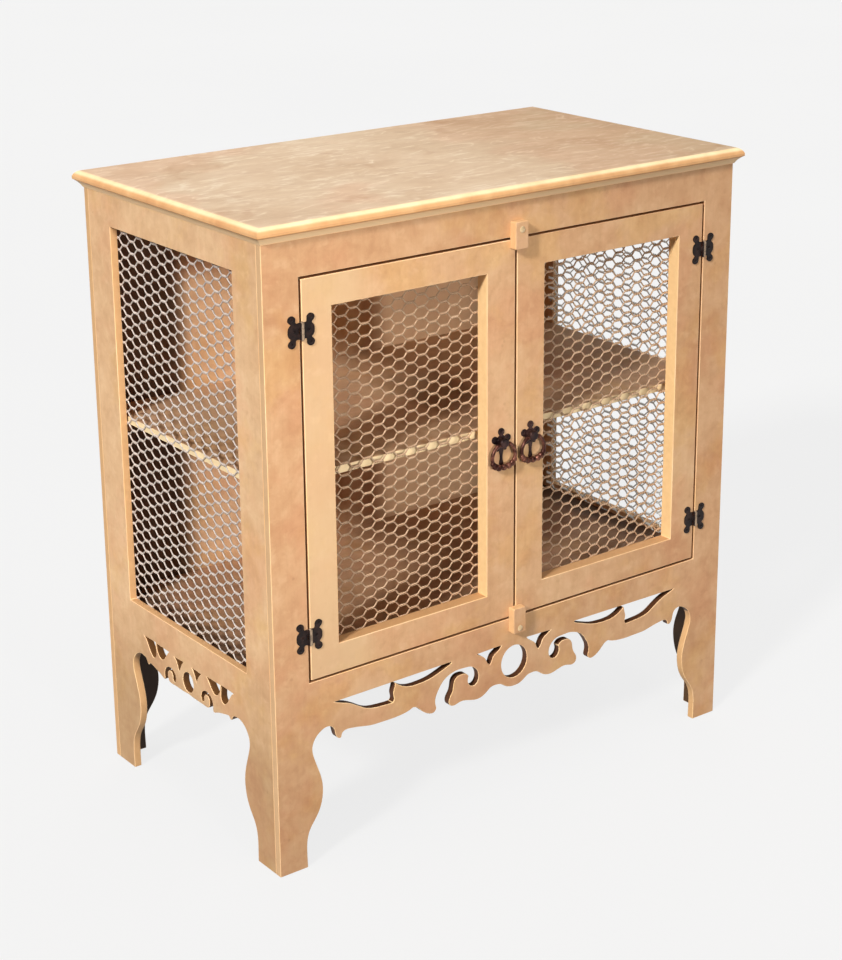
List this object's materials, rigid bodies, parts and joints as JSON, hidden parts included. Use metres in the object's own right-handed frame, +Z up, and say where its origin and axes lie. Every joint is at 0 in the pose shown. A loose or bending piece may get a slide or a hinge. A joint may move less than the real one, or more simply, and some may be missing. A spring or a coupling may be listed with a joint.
{
  "type": "pie safe",
  "caption": "Small pie safe cupboard on shaped legs, with fretwork aprons, a moulded top, a shelf, and wire-netting sides and doors that swing on butterfly hinges behind turn buttons.",
  "frame": {"origin": "on the floor, under the middle of the carcass", "axes": "+Z up; -Y out of the front, through the doors; +X to the right as seen from the front"},
  "size_m": [0.72, 0.4126, 0.774],
  "materials": {
    "carcass_wood": "raw, sanded, satin",
    "top_wood": "raw, sanded, mottled",
    "door_wood": "raw, sanded, satin",
    "inner_wood": "raw, sanded",
    "netting_wire": "galvanised wire",
    "hinge_black": "blackened, satin",
    "pull_bronze": "dark antique",
    "screw_steel": "plain"
  },
  "bodies": {
    "cabinet": {"front_frame": "carcass_wood", "left_side_panel": "carcass_wood", "right_side_panel": "carcass_wood", "back_panel": "carcass_wood", "top_board": "top_wood", "floor_board": "inner_wood", "middle_shelf": "inner_wood", "front_top_batten": "inner_wood", "rear_top_batten": "inner_wood", "front_floor_batten": "inner_wood", "rear_floor_batten": "inner_wood", "left_front_shelf_rest": "inner_wood", "left_rear_shelf_rest": "inner_wood", "right_front_shelf_rest": "inner_wood", "right_rear_shelf_rest": "inner_wood", "upper_door_stop": "inner_wood", "lower_door_stop": "inner_wood", "left_side_netting": "netting_wire", "right_side_netting": "netting_wire", "left_side_staples": "screw_steel", "right_side_staples": "screw_steel", "top_screws": "screw_steel", "floor_screws": "screw_steel", "left_upper_frame_leaf": "hinge_black", "left_lower_frame_leaf": "hinge_black", "right_upper_frame_leaf": "hinge_black", "right_lower_frame_leaf": "hinge_black", "hinge_pins": "hinge_black", "frame_leaf_screws": "hinge_black", "upper_button_screw": "pull_bronze", "lower_button_screw": "pull_bronze"},
    "left_door": {"left_door_frame": "door_wood", "left_door_netting": "netting_wire", "left_door_staples": "screw_steel", "left_upper_door_leaf": "hinge_black", "left_lower_door_leaf": "hinge_black", "left_door_leaf_screws": "hinge_black", "left_pull_plate": "pull_bronze", "left_pull_screw": "screw_steel"},
    "right_door": {"right_door_frame": "door_wood", "right_door_netting": "netting_wire", "right_door_staples": "screw_steel", "right_upper_door_leaf": "hinge_black", "right_lower_door_leaf": "hinge_black", "right_door_leaf_screws": "hinge_black", "right_pull_plate": "pull_bronze", "right_pull_screw": "screw_steel"},
    "left_ring": {"left_pull_ring": "pull_bronze"},
    "right_ring": {"right_pull_ring": "pull_bronze"},
    "upper_button": {"upper_turn_button": "door_wood"},
    "lower_button": {"lower_turn_button": "door_wood"}
  },
  "joints": [
    {"name": "left_door_hinge", "type": "hinge", "parent": "cabinet", "child": "left_door", "pos_m": [-0.3015, -0.1977, 0.472], "axis": [0, 0, -1], "range_deg": [0, 175]},
    {"name": "right_door_hinge", "type": "hinge", "parent": "cabinet", "child": "right_door", "pos_m": [0.3015, -0.1977, 0.472], "axis": [0, 0, 1], "range_deg": [0, 175]},
    {"name": "left_ring_pivot", "type": "hinge", "parent": "left_door", "child": "left_ring", "pos_m": [-0.0225, -0.2008, 0.463], "axis": [-1, 0, 0], "range_deg": [0, 88]},
    {"name": "right_ring_pivot", "type": "hinge", "parent": "right_door", "child": "right_ring", "pos_m": [0.0225, -0.2008, 0.463], "axis": [-1, 0, 0], "range_deg": [0, 88]},
    {"name": "upper_button_turn", "type": "hinge", "parent": "cabinet", "child": "upper_button", "pos_m": [0, -0.20055, 0.722], "axis": [0, 1, 0], "continuous": true},
    {"name": "lower_button_turn", "type": "hinge", "parent": "cabinet", "child": "lower_button", "pos_m": [0, -0.20055, 0.223], "axis": [0, 1, 0], "continuous": true}
  ]
}
